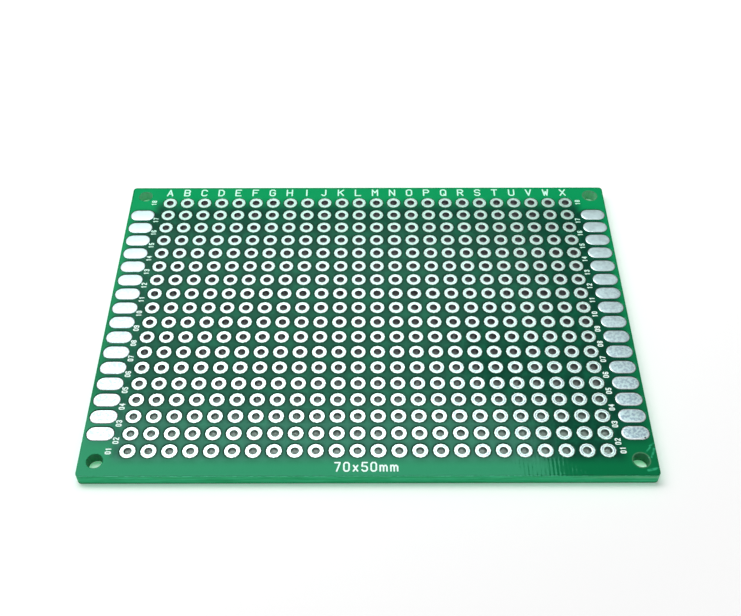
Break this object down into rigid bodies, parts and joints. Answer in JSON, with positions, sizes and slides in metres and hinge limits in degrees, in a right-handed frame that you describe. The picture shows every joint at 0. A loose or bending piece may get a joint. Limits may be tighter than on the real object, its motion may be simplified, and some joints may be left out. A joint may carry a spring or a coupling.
{
  "type": "prototype board",
  "caption": "Flat double-sided prototyping board with a lettered and numbered grid of plated through-holes, round-ended pads on its short sides and mounting holes in its corners.",
  "frame": {"origin": "centre of the board's underside, on the surface it lies on", "axes": "+X along the long side, from column A to column X; +Y across it, from row 01 to row 18; +Z out of the lettered face"},
  "size_m": [0.07, 0.05, 0.0016],
  "materials": {
    "glass_epoxy": "cut edge of glass-epoxy sheet, green and faintly streaked along its layers",
    "solder_mask": "green lacquer coat, semi-gloss, with the glass weave faintly showing",
    "tinned_copper": "hot-air levelled tin, bright and slightly grainy",
    "white_ink": "thin printed white ink, matt"
  },
  "bodies": {
    "root": {"laminate": "glass_epoxy", "solder_mask_top": "solder_mask", "solder_mask_bottom": "solder_mask", "hole_plating_row_01": "tinned_copper", "hole_plating_row_02": "tinned_copper", "hole_plating_row_03": "tinned_copper", "hole_plating_row_04": "tinned_copper", "hole_plating_row_05": "tinned_copper", "hole_plating_row_06": "tinned_copper", "hole_plating_row_07": "tinned_copper", "hole_plating_row_08": "tinned_copper", "hole_plating_row_09": "tinned_copper", "hole_plating_row_10": "tinned_copper", "hole_plating_row_11": "tinned_copper", "hole_plating_row_12": "tinned_copper", "hole_plating_row_13": "tinned_copper", "hole_plating_row_14": "tinned_copper", "hole_plating_row_15": "tinned_copper", "hole_plating_row_16": "tinned_copper", "hole_plating_row_17": "tinned_copper", "hole_plating_row_18": "tinned_copper", "edge_pads_left_top": "tinned_copper", "edge_pads_right_top": "tinned_copper", "edge_pads_left_bottom": "tinned_copper", "edge_pads_right_bottom": "tinned_copper", "column_letters": "white_ink", "row_numbers_left": "white_ink", "row_numbers_right": "white_ink", "size_marking": "white_ink"}
  },
  "joints": []
}
